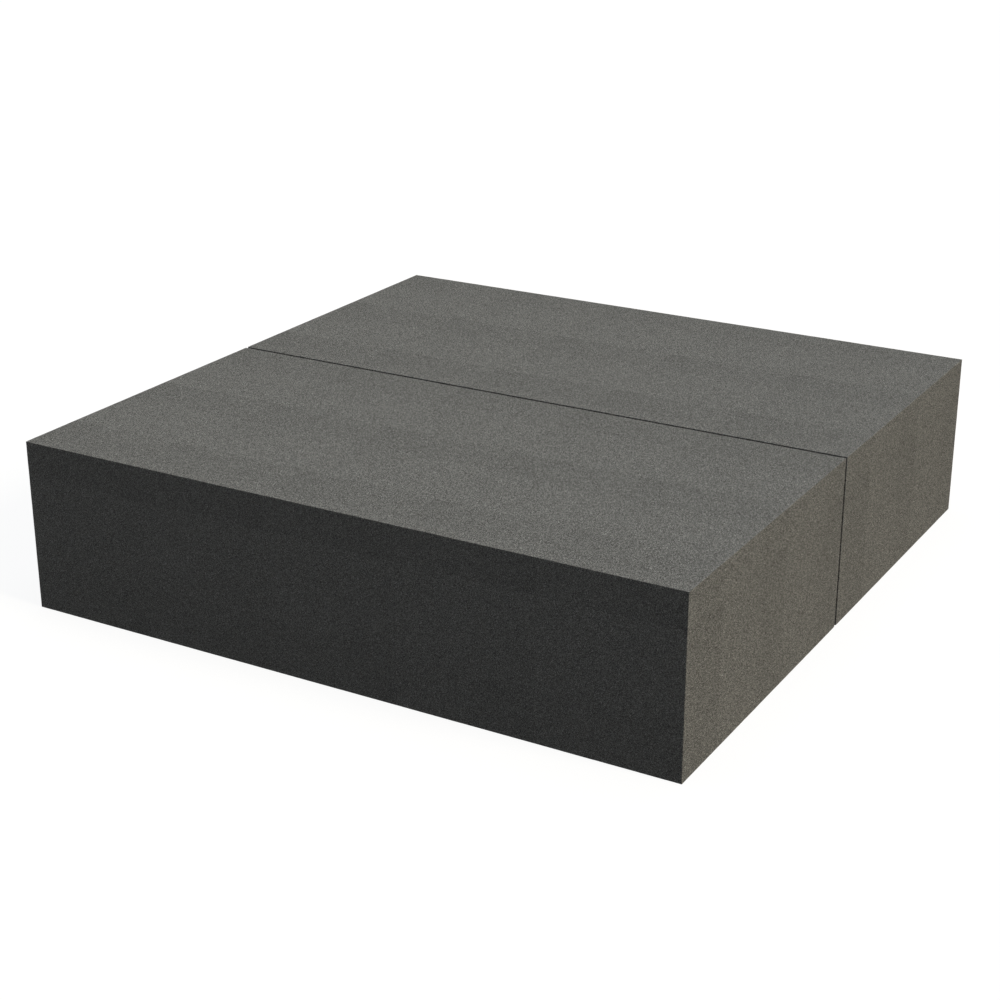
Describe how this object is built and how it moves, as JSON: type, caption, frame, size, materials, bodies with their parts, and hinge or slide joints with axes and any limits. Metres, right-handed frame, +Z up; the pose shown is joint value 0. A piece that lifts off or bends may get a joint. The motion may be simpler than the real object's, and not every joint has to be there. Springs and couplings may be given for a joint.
{
  "type": "foam block",
  "caption": "Low square block of charcoal foam, halved by a straight cut, for padding or propping things on a bench or desk.",
  "frame": {"origin": "on the surface that the block stands on, under the middle of the block and of the cut between its halves", "axes": "+X along the cut, +Y across it from the near half to the far half, +Z up"},
  "size_m": [0.3, 0.3016, 0.075],
  "materials": {
    "foam": "matte"
  },
  "bodies": {
    "root": {"near_half": "foam", "far_half": "foam"}
  },
  "joints": []
}
